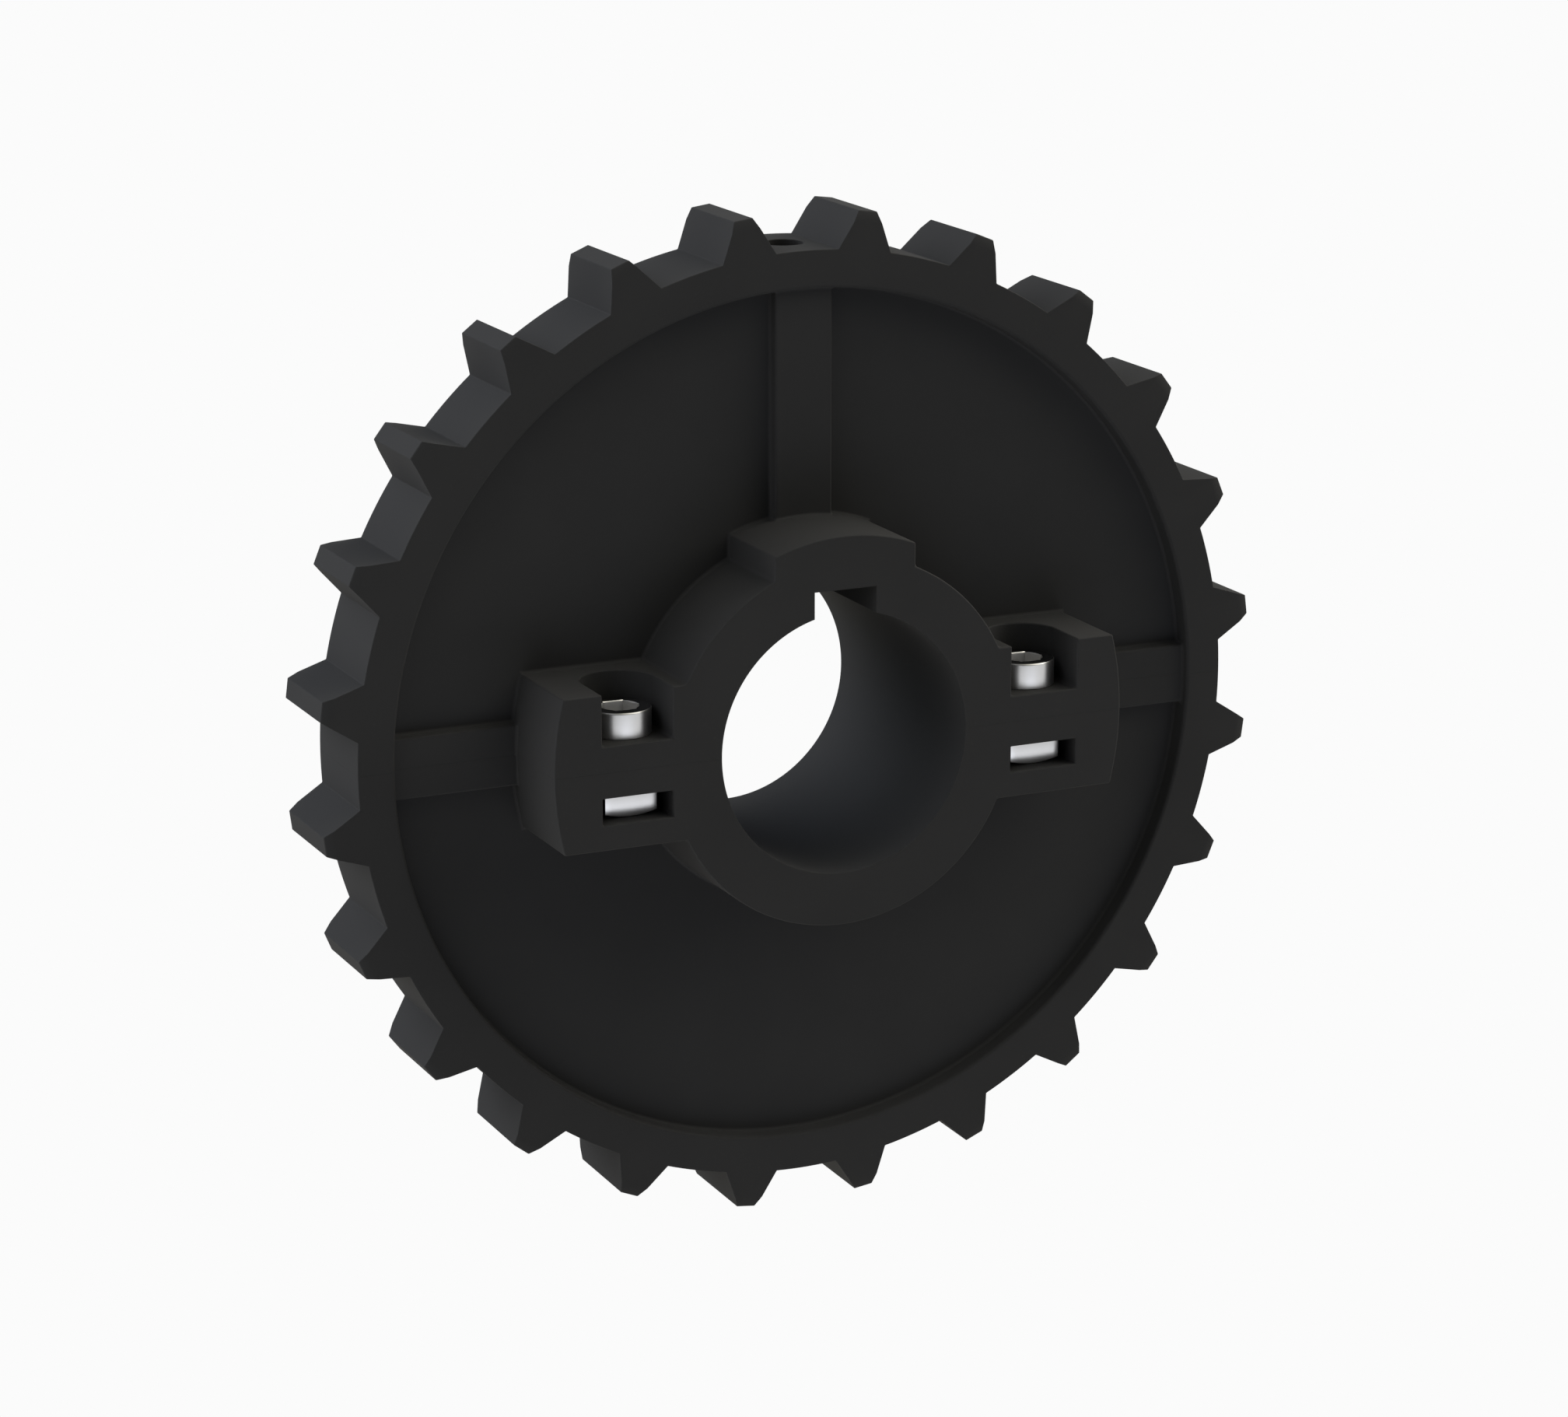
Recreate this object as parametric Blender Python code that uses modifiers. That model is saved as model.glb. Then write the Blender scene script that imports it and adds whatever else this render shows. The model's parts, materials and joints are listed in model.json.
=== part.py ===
"""Split conveyor-chain sprocket: two moulded halves with a toothed rim, clamped round a shaft by
four cap screws and square nuts, located by two dowels and keyed by a set screw."""

import math

import bmesh
import bpy
from mathutils import Matrix, Vector

# Driving dimensions, in metres. The shaft runs along Y, the split plane is Z = 0.
BORE_RADIUS = 0.01905
KEYWAY_WIDTH = 0.00958
KEYWAY_TOP = 0.02225
HUB_LENGTH = 0.0410
HUB_RADIUS = 0.0268
BOSS_WIDTH = 0.0218
BOSS_RADIUS = 0.0300

TEETH = 24
ROOT_RADIUS = 0.06815
KINK_RADIUS = 0.0720
TIP_RADIUS = 0.07363
ROOT_HALF_ANGLE = 3.449
KINK_HALF_ANGLE = 1.768
TIP_HALF_ANGLE = 1.108
TIP_SET_BACK = 0.0006
TRIM_INNER_RADIUS = 0.06965
TRIM_OUTER_RADIUS = 0.07563

RIM_WIDTH = 0.0158
RIM_INNER_RADIUS = 0.0627
WEB_THICKNESS = 0.0100
RIB_THICKNESS = 0.0134
RIB_WIDTH = 0.0088
RIB_IN_HUB = 0.0030

EAR_RADIUS = 0.04423
EAR_HEIGHT = 0.02244
EAR_DRAFT = 0.00005
SCREW_X = 0.03172
SCREW_Y = 0.0139
POCKET_WIDTH = 0.01064
POCKET_BACK_Y = 0.0135
SEAT_Z = 0.00378
SLOT_TOP_Z = -0.00371
SLOT_FLOOR_Z = -0.00750
SCREW_HOLE_RADIUS = 0.0028

HEAD_RADIUS = 0.00450
HEAD_HEIGHT = 0.0036
SHANK_RADIUS = 0.0024
SHANK_LENGTH = 0.0120
HEX_FLATS = 0.0052
HEX_DEPTH = 0.0023
NUT_WIDTH = 0.0078
NUT_HEIGHT = 0.0033
NUT_HOLE_RADIUS = 0.0027
NUT_CONE_SLOPE = 0.33
NUT_FLAT_MARGIN = 0.0002

DOWEL_RADIUS = 0.0025
DOWEL_LENGTH = 0.0160
DOWEL_HOLE_DEPTH = 0.0085
SET_SCREW_RADIUS = 0.0025
SET_SCREW_LENGTH = 0.0080
SET_SCREW_HEX = 0.0025
SET_SCREW_SOCKET_FLOOR = 0.0048
DRILL_RADIUS = 0.0028

# Clearance between pieces, edge break, how far joined bodies overlap, how far a cutter sticks out.
GAP = 0.0003
CHAMFER = 0.0004
OVERLAP = 0.0005
BEYOND = 0.0100
WELD_DISTANCE = 0.000001
FLAT_ANGLE = 0.002

WHEEL_STEPS = 96
BORE_STEPS = 72
SCREW_STEPS = 32
HOLE_STEPS = 24


def clear_scene():
    for old in list(bpy.data.objects):
        bpy.data.objects.remove(old, do_unlink=True)


def new_collection(name):
    collection = bpy.data.collections.new(name)
    bpy.context.scene.collection.children.link(collection)
    return collection


def principled(name, colour, roughness, metallic):
    material = bpy.data.materials.new(name)
    material.use_nodes = True
    shader = material.node_tree.nodes["Principled BSDF"]
    shader.inputs["Base Color"].default_value = (*colour, 1.0)
    shader.inputs["Roughness"].default_value = roughness
    shader.inputs["Metallic"].default_value = metallic
    return material


# Outlines are lists of (x, z) points, anticlockwise.
def polar(radius, angle):
    return (radius * math.cos(math.radians(angle)), radius * math.sin(math.radians(angle)))


def arc(radius, start, end, steps):
    """Points on a circle round the shaft, from one angle to another in degrees, both ends included."""
    return [polar(radius, start + (end - start) * i / steps) for i in range(steps + 1)]


def circle(radius, steps, centre=(0.0, 0.0)):
    return [(x + centre[0], z + centre[1]) for x, z in arc(radius, 0, 360, steps)[:-1]]


def height_on(radius, across):
    return math.sqrt(radius**2 - across**2)


def angle_at(radius, height):
    """The angle from +X, in degrees, of the point of a circle at this height."""
    return math.degrees(math.asin(height / radius))


def tooth_outline():
    """Teeth with flanks in two slopes, and between them gap floors that are arcs."""
    pitch = 360 / TEETH
    upper_flank = [(KINK_RADIUS, KINK_HALF_ANGLE), (TIP_RADIUS, TIP_HALF_ANGLE)]
    points = []
    for tooth in range(TEETH):
        middle = pitch * (tooth + 0.5)
        points.append(polar(ROOT_RADIUS, middle - ROOT_HALF_ANGLE))
        points += [polar(radius, middle - half) for radius, half in upper_flank]
        points += [polar(radius, middle + half) for radius, half in reversed(upper_flank)]
        gap_end = middle + pitch - ROOT_HALF_ANGLE
        points += arc(ROOT_RADIUS, middle + ROOT_HALF_ANGLE, gap_end, 4)[:-1]
    return points


def hub_outline():
    """Round hub with a key boss on top and an ear on each side, which narrows a little outwards."""
    ear = EAR_HEIGHT / 2
    ear_end = angle_at(EAR_RADIUS, ear - EAR_DRAFT)
    ear_root = angle_at(HUB_RADIUS, ear)
    boss_root = angle_at(HUB_RADIUS, height_on(HUB_RADIUS, BOSS_WIDTH / 2))
    boss_top = angle_at(BOSS_RADIUS, height_on(BOSS_RADIUS, BOSS_WIDTH / 2))
    return (
        arc(EAR_RADIUS, -ear_end, ear_end, 8)
        + arc(HUB_RADIUS, ear_root, boss_root, 8)
        + arc(BOSS_RADIUS, boss_top, 180 - boss_top, 10)
        + arc(HUB_RADIUS, 180 - boss_root, 180 - ear_root, 8)
        + arc(EAR_RADIUS, 180 - ear_end, 180 + ear_end, 8)
        + arc(HUB_RADIUS, 180 + ear_root, 360 - ear_root, 24)
    )


def apply_matrix(obj):
    """Puts an object's placement into its mesh."""
    bpy.context.view_layer.update()
    obj.data.transform(obj.matrix_world)
    obj.matrix_world = Matrix.Identity(4)


def finish_mesh(name, collection, mesh):
    """An object for a mesh made elsewhere, welded, facing outwards and with its flats as single faces."""
    work = bmesh.new()
    work.from_mesh(mesh)
    bmesh.ops.remove_doubles(work, verts=work.verts, dist=WELD_DISTANCE)
    bmesh.ops.recalc_face_normals(work, faces=work.faces)
    bmesh.ops.dissolve_limit(work, angle_limit=FLAT_ANGLE, verts=work.verts, edges=work.edges)
    work.to_mesh(mesh)
    work.free()
    obj = bpy.data.objects.new(name, mesh)
    collection.objects.link(obj)
    return obj


def evaluated_mesh(obj):
    bpy.context.view_layer.update()
    graph = bpy.context.evaluated_depsgraph_get()
    return bpy.data.meshes.new_from_object(obj.evaluated_get(graph))


def plate(name, collection, outlines, thickness, along="Y"):
    """Outlines extruded to a thickness, along the shaft or, for along Z, upwards."""
    curve = bpy.data.curves.new(name, "CURVE")
    curve.dimensions = "2D"
    curve.fill_mode = "BOTH"
    curve.extrude = thickness / 2
    for outline in outlines:
        spline = curve.splines.new("POLY")
        spline.points.add(len(outline) - 1)
        for point, (x, y) in zip(spline.points, outline):
            point.co = (x, y, 0.0, 1.0)
        spline.use_cyclic_u = True
    flat = bpy.data.objects.new(name + "_outline", curve)
    collection.objects.link(flat)
    mesh = evaluated_mesh(flat)
    bpy.data.objects.remove(flat, do_unlink=True)
    obj = finish_mesh(name, collection, mesh)
    if along == "Y":
        obj.rotation_euler.x = math.radians(90)
        apply_matrix(obj)
    return obj


def box(name, collection, low, high):
    low, high = Vector(low), Vector(high)
    mesh = bpy.data.meshes.new(name)
    work = bmesh.new()
    bmesh.ops.create_cube(work, size=1.0)
    bmesh.ops.scale(work, vec=high - low, verts=work.verts)
    bmesh.ops.translate(work, vec=(low + high) / 2, verts=work.verts)
    work.to_mesh(mesh)
    work.free()
    obj = bpy.data.objects.new(name, mesh)
    collection.objects.link(obj)
    return obj


def cylinder(name, collection, radius, low_z, high_z, segments=HOLE_STEPS):
    mesh = bpy.data.meshes.new(name)
    work = bmesh.new()
    bmesh.ops.create_cone(
        work, cap_ends=True, segments=segments, radius1=radius, radius2=radius, depth=high_z - low_z
    )
    bmesh.ops.translate(work, vec=(0, 0, (low_z + high_z) / 2), verts=work.verts)
    work.to_mesh(mesh)
    work.free()
    obj = bpy.data.objects.new(name, mesh)
    collection.objects.link(obj)
    return obj


def turned(name, collection, profile, steps):
    """A profile of (radius, height) points, from the top down, turned round Z."""
    mesh = bpy.data.meshes.new(name)
    points = [(radius, 0.0, height) for radius, height in profile]
    mesh.from_pydata(points, [(i, i + 1) for i in range(len(points) - 1)], [])
    obj = bpy.data.objects.new(name, mesh)
    collection.objects.link(obj)
    screw = obj.modifiers.new("Turn", "SCREW")
    screw.axis = "Z"
    screw.steps = steps
    screw.render_steps = steps
    screw.use_merge_vertices = True
    screw.merge_threshold = WELD_DISTANCE
    return obj


def boolean(obj, other, operation):
    modifier = obj.modifiers.new(operation.title() + "_" + other.name, "BOOLEAN")
    modifier.operation = operation
    modifier.solver = "EXACT"
    modifier.object = other


def make_cutters_wire(collection):
    for obj in collection.objects:
        obj.hide_render = True
        obj.display_type = "WIRE"


def smooth(obj, angle=30):
    obj.data.shade_smooth()
    obj.data.set_sharp_from_angle(angle=math.radians(angle))


def tip_envelope(cutters):
    """A disc with chamfered edges, one flat facet for each tooth, that trims both sides of the tips."""
    slope = TIP_SET_BACK / (TIP_RADIUS - KINK_RADIUS)
    to_corner = 1 / math.cos(math.pi / TEETH)
    inner_y = RIM_WIDTH / 2 + slope * (KINK_RADIUS - TRIM_INNER_RADIUS)
    outer_y = RIM_WIDTH / 2 - slope * (TRIM_OUTER_RADIUS - KINK_RADIUS)
    inner, outer = TRIM_INNER_RADIUS * to_corner, TRIM_OUTER_RADIUS * to_corner
    profile = [(0, inner_y), (inner, inner_y), (outer, outer_y)]
    profile += [(radius, -height) for radius, height in reversed(profile)]
    envelope = turned("tip_envelope", cutters, profile, TEETH)
    envelope.rotation_euler.x = math.radians(90)
    return envelope


def make_blank(cutters):
    """The whole wheel before it is split: rim, web, three ribs and hub in one solid, with the bore."""
    rim_outlines = [tooth_outline(), circle(RIM_INNER_RADIUS, WHEEL_STEPS)]
    blank = plate("wheel_blank", cutters, rim_outlines, RIM_WIDTH)
    envelope = tip_envelope(cutters)
    boolean(blank, envelope, "INTERSECT")
    buried = RIM_INNER_RADIUS + OVERLAP
    inside = HUB_RADIUS - RIB_IN_HUB
    half_rib = RIB_WIDTH / 2
    half_thick = RIB_THICKNESS / 2
    joined = [
        plate("web", cutters, [circle(buried, WHEEL_STEPS)], WEB_THICKNESS),
        box("rib_right", cutters, (inside, -half_thick, -half_rib), (buried, half_thick, half_rib)),
        box("rib_left", cutters, (-buried, -half_thick, -half_rib), (-inside, half_thick, half_rib)),
        box("rib_top", cutters, (-half_rib, -half_thick, inside), (half_rib, half_thick, buried)),
        plate("hub", cutters, [hub_outline()], HUB_LENGTH),
    ]
    for piece in joined:
        boolean(blank, piece, "UNION")
    bore = plate("bore", cutters, [circle(BORE_RADIUS, BORE_STEPS)], HUB_LENGTH + BEYOND)
    half_key = KEYWAY_WIDTH / 2
    keyway = box("keyway", cutters, (-half_key, -HUB_LENGTH, 0.0), (half_key, HUB_LENGTH, KEYWAY_TOP))
    for cutter in (bore, keyway):
        boolean(blank, cutter, "DIFFERENCE")
    mesh = evaluated_mesh(blank)
    for piece in (blank, envelope, *joined, bore, keyway):
        bpy.data.objects.remove(piece, do_unlink=True)
    return mesh


def pocket_outline(side, end):
    """A slot in plan, open at the hub's face, with a round back that the screw head stands in."""
    half = POCKET_WIDTH / 2
    back = [(x, y - POCKET_BACK_Y) for x, y in arc(half, 0, 180, 12)]
    mouth = -(HUB_LENGTH / 2 + BEYOND)
    points = [(half, mouth)] + back + [(-half, mouth)]
    placed = [(x + side * SCREW_X, y * -end) for x, y in points]
    # The back end is a mirror image, so its points run the other way round.
    return placed if end < 0 else placed[::-1]


def make_half(name, collection, cutters, blank, upper, material):
    """One half of the wheel, cut from the blank on its own side of the split plane."""
    half = finish_mesh(name, collection, blank.copy())
    half.data.materials.clear()
    half.data.materials.append(material)
    reach = TIP_RADIUS + BEYOND
    low, high = (GAP / 2, reach) if upper else (-reach, -GAP / 2)
    keep = box(name + "_keep", cutters, (-reach, -reach, low), (reach, reach, high))
    boolean(half, keep, "INTERSECT")
    for side, side_name in ((-1, "left"), (1, "right")):
        dowel_name = f"{name}_dowel_{side_name}"
        dowel = cylinder(dowel_name, cutters, DRILL_RADIUS, -DOWEL_HOLE_DEPTH, DOWEL_HOLE_DEPTH)
        dowel.location.x = side * SCREW_X
        boolean(half, dowel, "DIFFERENCE")
        for end, end_name in ((-1, "front"), (1, "back")):
            where = f"{name}_{end_name}_{side_name}"
            hole = cylinder(where + "_hole", cutters, SCREW_HOLE_RADIUS, -EAR_HEIGHT, EAR_HEIGHT)
            hole.location = (side * SCREW_X, end * SCREW_Y, 0.0)
            boolean(half, hole, "DIFFERENCE")
            if upper:
                tall = EAR_HEIGHT - SEAT_Z
                seat = plate(where + "_pocket", cutters, [pocket_outline(side, end)], tall, "Z")
                seat.location.z = SEAT_Z + tall / 2
            else:
                ends = sorted((end * (HUB_LENGTH / 2 + BEYOND), end * (SCREW_Y - NUT_WIDTH / 2 - GAP)))
                middle = side * SCREW_X
                width = POCKET_WIDTH / 2
                low_corner = (middle - width, ends[0], SLOT_FLOOR_Z)
                high_corner = (middle + width, ends[1], SLOT_TOP_Z)
                seat = box(where + "_nut_slot", cutters, low_corner, high_corner)
            boolean(half, seat, "DIFFERENCE")
    if upper:
        drill = cylinder("set_screw_hole", cutters, DRILL_RADIUS, BORE_RADIUS, TIP_RADIUS)
        boolean(half, drill, "DIFFERENCE")
    return half


def hexagon(name, cutters, flats, low_z, high_z):
    return cylinder(name, cutters, flats / 2 / math.cos(math.pi / 6), low_z, high_z, segments=6)


def make_cap_screw(name, collection, cutters, place, material):
    """A cap screw whose origin is on its axis, where the underside of the head sits."""
    top = HEAD_HEIGHT
    profile = [
        (0, top),
        (HEAD_RADIUS - CHAMFER, top),
        (HEAD_RADIUS, top - CHAMFER),
        (HEAD_RADIUS, 0),
        (SHANK_RADIUS, 0),
        (SHANK_RADIUS, CHAMFER - SHANK_LENGTH),
        (SHANK_RADIUS - CHAMFER, -SHANK_LENGTH),
        (0, -SHANK_LENGTH),
    ]
    screw = turned(name, collection, profile, SCREW_STEPS)
    screw.location = place
    socket = hexagon(name + "_socket", cutters, HEX_FLATS, top - HEX_DEPTH, top + BEYOND)
    socket.location = place
    boolean(screw, socket, "DIFFERENCE")
    screw.data.materials.append(material)
    return screw


def make_nut(name, collection, cutters, place, material):
    """A square nut with one face coned off, centred on its screw."""
    half = NUT_WIDTH / 2
    square = [(-half, -half), (half, -half), (half, half), (-half, half)]
    nut = plate(name, collection, [square, circle(NUT_HOLE_RADIUS, HOLE_STEPS)], NUT_HEIGHT, "Z")
    nut.location = place
    flat_radius = half - NUT_FLAT_MARGIN
    reach = flat_radius + NUT_HEIGHT / NUT_CONE_SLOPE
    profile = [(0, NUT_HEIGHT / 2 + GAP), (reach, NUT_HEIGHT / 2 + GAP), (reach, NUT_HEIGHT / 2)]
    profile += [(flat_radius, -NUT_HEIGHT / 2), (flat_radius - GAP, -NUT_HEIGHT / 2 - GAP)]
    profile += [(0, -NUT_HEIGHT / 2 - GAP)]
    cone = turned(name + "_cone", cutters, profile, SCREW_STEPS)
    cone.location = place
    boolean(nut, cone, "INTERSECT")
    nut.data.materials.append(material)
    return nut


def make_pin(name, collection, radius, length, place, material):
    half = length / 2
    profile = [(0, half), (radius - CHAMFER, half), (radius, half - CHAMFER)]
    profile += [(across, -height) for across, height in reversed(profile)]
    pin = turned(name, collection, profile, HOLE_STEPS)
    pin.location = place
    pin.data.materials.append(material)
    return pin


def make_set_screw(collection, cutters, material):
    """The cup-point screw that presses on the key, with its point just above the keyway."""
    length = SET_SCREW_LENGTH
    profile = [(0, length), (SET_SCREW_RADIUS - CHAMFER, length), (SET_SCREW_RADIUS, length - CHAMFER)]
    profile += [(SET_SCREW_RADIUS, 3 * CHAMFER), (SET_SCREW_RADIUS / 2, 0), (0, CHAMFER)]
    place = (0, 0, KEYWAY_TOP + GAP)
    screw = turned("key_set_screw", collection, profile, HOLE_STEPS)
    screw.location = place
    socket_floor, socket_top = SET_SCREW_SOCKET_FLOOR, length + BEYOND
    socket = hexagon("set_screw_socket", cutters, SET_SCREW_HEX, socket_floor, socket_top)
    socket.location = place
    boolean(screw, socket, "DIFFERENCE")
    screw.data.materials.append(material)
    return screw


def parent_keeping_place(child, parent):
    bpy.context.view_layer.update()
    child.parent = parent
    child.matrix_parent_inverse = parent.matrix_world.inverted()


def main():
    clear_scene()
    parts = new_collection("Split_Sprocket")
    cutters = new_collection("Cutters")
    nylon = principled("black_nylon", (0.021, 0.021, 0.022), 0.55, 0.0)
    steel = principled("stainless_steel", (0.62, 0.61, 0.59), 0.28, 1.0)

    origin = bpy.data.objects.new("shaft_axis", None)
    parts.objects.link(origin)

    blank = make_blank(cutters)
    lower = make_half("lower_half", parts, cutters, blank, False, nylon)
    upper = make_half("upper_half", parts, cutters, blank, True, nylon)
    parent_keeping_place(lower, origin)
    parent_keeping_place(upper, lower)

    nut_z = (SLOT_TOP_Z + SLOT_FLOOR_Z) / 2
    for side, side_name in ((-1, "left"), (1, "right")):
        for end, end_name in ((-1, "front"), (1, "back")):
            where = f"{end_name}_{side_name}"
            x, y = side * SCREW_X, end * SCREW_Y
            screw = make_cap_screw("cap_screw_" + where, parts, cutters, (x, y, SEAT_Z + GAP), steel)
            parent_keeping_place(screw, upper)
            nut = make_nut("square_nut_" + where, parts, cutters, (x, y, nut_z), steel)
            parent_keeping_place(nut, lower)
        dowel_place = (side * SCREW_X, 0, 0)
        dowel = make_pin("dowel_" + side_name, parts, DOWEL_RADIUS, DOWEL_LENGTH, dowel_place, steel)
        parent_keeping_place(dowel, lower)
    parent_keeping_place(make_set_screw(parts, cutters, steel), upper)

    for obj in parts.objects:
        if obj.type == "MESH":
            smooth(obj)
    make_cutters_wire(cutters)


main()
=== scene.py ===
# %% [markdown]
# # A split conveyor-chain sprocket
# The wheel pulls a flat-top conveyor chain round a 38.1 mm shaft. It is moulded in two halves, so that
# it can be put on a shaft that is already in its bearings, and four cap screws clamp the halves together.
# This lesson builds the looks of it around the finished CAD model: the toothed rim by Geometry Nodes, the
# two halves by cutting and rounding one wheel, the screws and nuts by ring lofts, and every finish by nodes.

# %% Load the frame
import json
import math

import bmesh
import bpy
from mathutils import Matrix, Vector


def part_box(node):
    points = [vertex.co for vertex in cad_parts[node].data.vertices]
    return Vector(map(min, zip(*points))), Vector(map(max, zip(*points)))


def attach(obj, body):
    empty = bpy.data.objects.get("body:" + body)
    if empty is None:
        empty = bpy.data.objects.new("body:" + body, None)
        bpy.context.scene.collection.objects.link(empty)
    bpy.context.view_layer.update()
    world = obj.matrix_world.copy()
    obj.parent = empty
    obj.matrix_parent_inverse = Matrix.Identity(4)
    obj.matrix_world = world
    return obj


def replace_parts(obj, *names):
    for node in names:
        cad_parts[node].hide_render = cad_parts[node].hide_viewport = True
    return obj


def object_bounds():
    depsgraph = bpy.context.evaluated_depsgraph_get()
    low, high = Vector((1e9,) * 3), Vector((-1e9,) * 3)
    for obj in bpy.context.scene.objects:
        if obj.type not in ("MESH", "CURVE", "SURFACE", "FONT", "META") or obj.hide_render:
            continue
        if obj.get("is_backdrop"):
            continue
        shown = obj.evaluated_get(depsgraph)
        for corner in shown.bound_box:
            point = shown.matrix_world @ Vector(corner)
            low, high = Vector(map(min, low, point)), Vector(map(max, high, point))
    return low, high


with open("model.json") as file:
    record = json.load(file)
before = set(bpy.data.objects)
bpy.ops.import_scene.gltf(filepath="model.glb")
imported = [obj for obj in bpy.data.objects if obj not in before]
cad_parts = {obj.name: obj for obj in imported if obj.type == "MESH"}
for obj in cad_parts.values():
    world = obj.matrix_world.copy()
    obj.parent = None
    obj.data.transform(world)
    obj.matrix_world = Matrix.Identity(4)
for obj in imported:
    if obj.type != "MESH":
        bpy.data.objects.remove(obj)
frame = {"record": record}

cad_low, cad_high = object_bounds()
record = frame["record"]
print("size in mm:", [round(1000 * side, 1) for side in cad_high - cad_low])

# %% [markdown]
# ## Sizes
# The shaft runs along Y, the halves part at Z = 0, and the front is at -Y. The shaft size, the hub's
# length and the places of the screws come from the frame, so the looks can't drift away from the CAD.
# The others are the driving dimensions of the moulding itself, in metres.

# %% Sizes of the moulding
shaft = next(mount for mount in record["mounts"] if mount["name"] == "shaft_bore")
BORE_RADIUS = shaft["dims"]["r_mm"] / 1000
HUB_LENGTH = shaft["dims"]["length_mm"] / 1000
KEYWAY_WIDTH = 0.00958
KEYWAY_TOP = 0.02225
HUB_RADIUS = 0.0268
BOSS_WIDTH = 0.0218
BOSS_RADIUS = 0.0300

TEETH = 24
ROOT_RADIUS = 0.06815
KINK_RADIUS = 0.0720
TIP_RADIUS = 0.07363
ROOT_HALF_ANGLE = 3.449
KINK_HALF_ANGLE = 1.768
TIP_HALF_ANGLE = 1.108
TIP_SET_BACK = 0.0006

RIM_WIDTH = 0.0158
RIM_INNER_RADIUS = 0.0627
WEB_THICKNESS = 0.0100
RIB_THICKNESS = 0.0134
RIB_WIDTH = 0.0088

EAR_RADIUS = 0.04423
EAR_HEIGHT = 0.02244
EAR_DRAFT = 0.00005
POCKET_WIDTH = 0.01064
SEAT_Z = 0.00378
SLOT_TOP_Z = -0.00371
SLOT_FLOOR_Z = -0.00750
HOLE_RADIUS = 0.0028
DOWEL_HOLE_DEPTH = 0.0085
SPLIT_GAP = 0.00001
OVERLAP = 0.0005
BEYOND = 0.0100
WELD_DISTANCE = 0.000001

SIDES = {"left": -1, "right": 1}
ENDS = {"front": -1, "back": 1}
print("bore", 2 * BORE_RADIUS, "m, over the tips", 2 * TIP_RADIUS, "m")

# %% [markdown]
# ## A helper for node trees
# A node tree is easier to read as arithmetic than as a list of links. Flow wraps one output socket:
# + - * / on it add Math nodes, apply() adds the other kinds of Math node, and add() makes any other node,
# with its settings first and then its inputs. One class serves the Geometry Nodes trees and the materials.


# %% One class for sockets
class Flow:
    def __init__(self, tree, socket=None):
        self.tree = tree
        self.socket = socket

    def add(self, kind, settings=None, inputs=None, out=0):
        """A new node. Inputs are numbers, colours or Flows, by the socket's name, identifier or place."""
        node = self.tree.nodes.new(kind)
        for name, value in (settings or {}).items():
            setattr(node, name, value)
        for key, value in (inputs or {}).items():
            socket = self.find(node.inputs, key)
            if isinstance(value, Flow):
                self.tree.links.new(value.socket, socket)
            else:
                socket.default_value = value
        if not node.outputs:
            return None
        return Flow(self.tree, self.find(node.outputs, out))

    @staticmethod
    def find(sockets, key):
        if isinstance(key, int):
            return sockets[key]
        matches = [s for s in sockets if s.identifier == key] or [s for s in sockets if s.name == key]
        return matches[0]

    def math(self, operation, *values):
        return self.add("ShaderNodeMath", {"operation": operation}, dict(enumerate(values)))

    def apply(self, operation, *others):
        """A Math node whose first value is this one."""
        return self.math(operation, self, *others)

    def __add__(self, other):
        return self.math("ADD", self, other)

    def __sub__(self, other):
        return self.math("SUBTRACT", self, other)

    def __mul__(self, other):
        return self.math("MULTIPLY", self, other)

    def __truediv__(self, other):
        return self.math("DIVIDE", self, other)

    def __radd__(self, other):
        return self.math("ADD", other, self)

    def __rsub__(self, other):
        return self.math("SUBTRACT", other, self)

    def __rmul__(self, other):
        return self.math("MULTIPLY", other, self)

    def __rtruediv__(self, other):
        return self.math("DIVIDE", other, self)


def split_xyz(vector):
    """The three parts of a vector, each as a Flow."""
    first = vector.add("ShaderNodeSeparateXYZ", {}, {"Vector": vector})
    return [Flow(vector.tree, socket) for socket in first.socket.node.outputs]


# %% Geometry Nodes helpers
def new_tree(name, sizes):
    """A geometry tree whose inputs are these named numbers. Returns it with a Flow for each input."""
    tree = bpy.data.node_groups.new(name, "GeometryNodeTree")
    for label in sizes:
        tree.interface.new_socket(label, in_out="INPUT", socket_type="NodeSocketFloat")
    tree.interface.new_socket("Geometry", in_out="OUTPUT", socket_type="NodeSocketGeometry")
    group_in = tree.nodes.new("NodeGroupInput")
    flows = {label: Flow(tree, group_in.outputs[label]) for label in sizes}
    return tree, flows


def close_tree(tree, geometry, material):
    """Ends a tree as every tree here ends: plain mesh, one material."""
    real = geometry.add("GeometryNodeRealizeInstances", {}, {"Geometry": geometry})
    done = real.add("GeometryNodeSetMaterial", {}, {"Geometry": real, "Material": material})
    group_out = tree.nodes.new("NodeGroupOutput")
    tree.links.new(done.socket, group_out.inputs[0])


def bake_tree(name, tree, sizes):
    """Runs a tree with these sizes and returns the mesh that it makes, with no modifier left."""
    holder = bpy.data.objects.new(name, bpy.data.meshes.new(name + "_empty"))
    bpy.context.scene.collection.objects.link(holder)
    modifier = holder.modifiers.new(name, "NODES")
    modifier.node_group = tree
    for socket in tree.interface.items_tree:
        if socket.in_out == "INPUT":
            modifier[socket.identifier] = float(sizes[socket.name])
    bpy.context.view_layer.update()
    graph = bpy.context.evaluated_depsgraph_get()
    mesh = bpy.data.meshes.new_from_object(holder.evaluated_get(graph))
    bpy.data.objects.remove(holder, do_unlink=True)
    return mesh


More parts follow.
